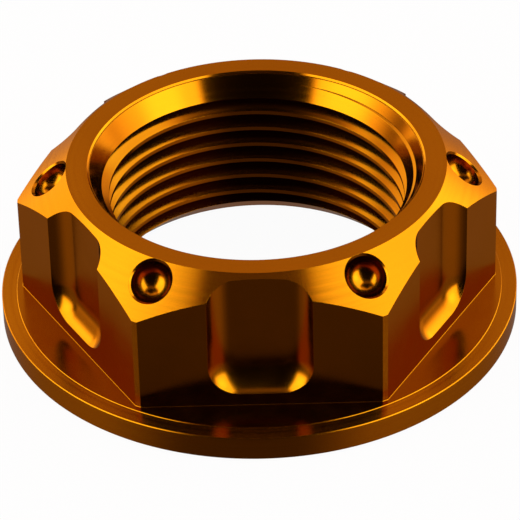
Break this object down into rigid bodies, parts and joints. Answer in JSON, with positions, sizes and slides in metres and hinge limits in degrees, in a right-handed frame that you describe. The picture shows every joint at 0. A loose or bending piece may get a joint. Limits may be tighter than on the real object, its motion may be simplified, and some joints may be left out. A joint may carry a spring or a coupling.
{
  "type": "steering stem nut",
  "caption": "Flanged hexagon nut with a large threaded bore, milled flats, corner dimples and a coned top, clamping a fork's top plate to the steering stem.",
  "frame": {"origin": "centre of the flange's flat underside, on the bore's axis", "axes": "+Z along the bore, out of the nut's top; a flat of the hexagon faces -Y and a corner +X"},
  "size_m": [0.04, 0.04, 0.013],
  "materials": {
    "anodised_aluminium": "orange gold anodised, turned and milled, glossy"
  },
  "bodies": {
    "root": {"stem_nut": "anodised_aluminium"}
  },
  "joints": []
}
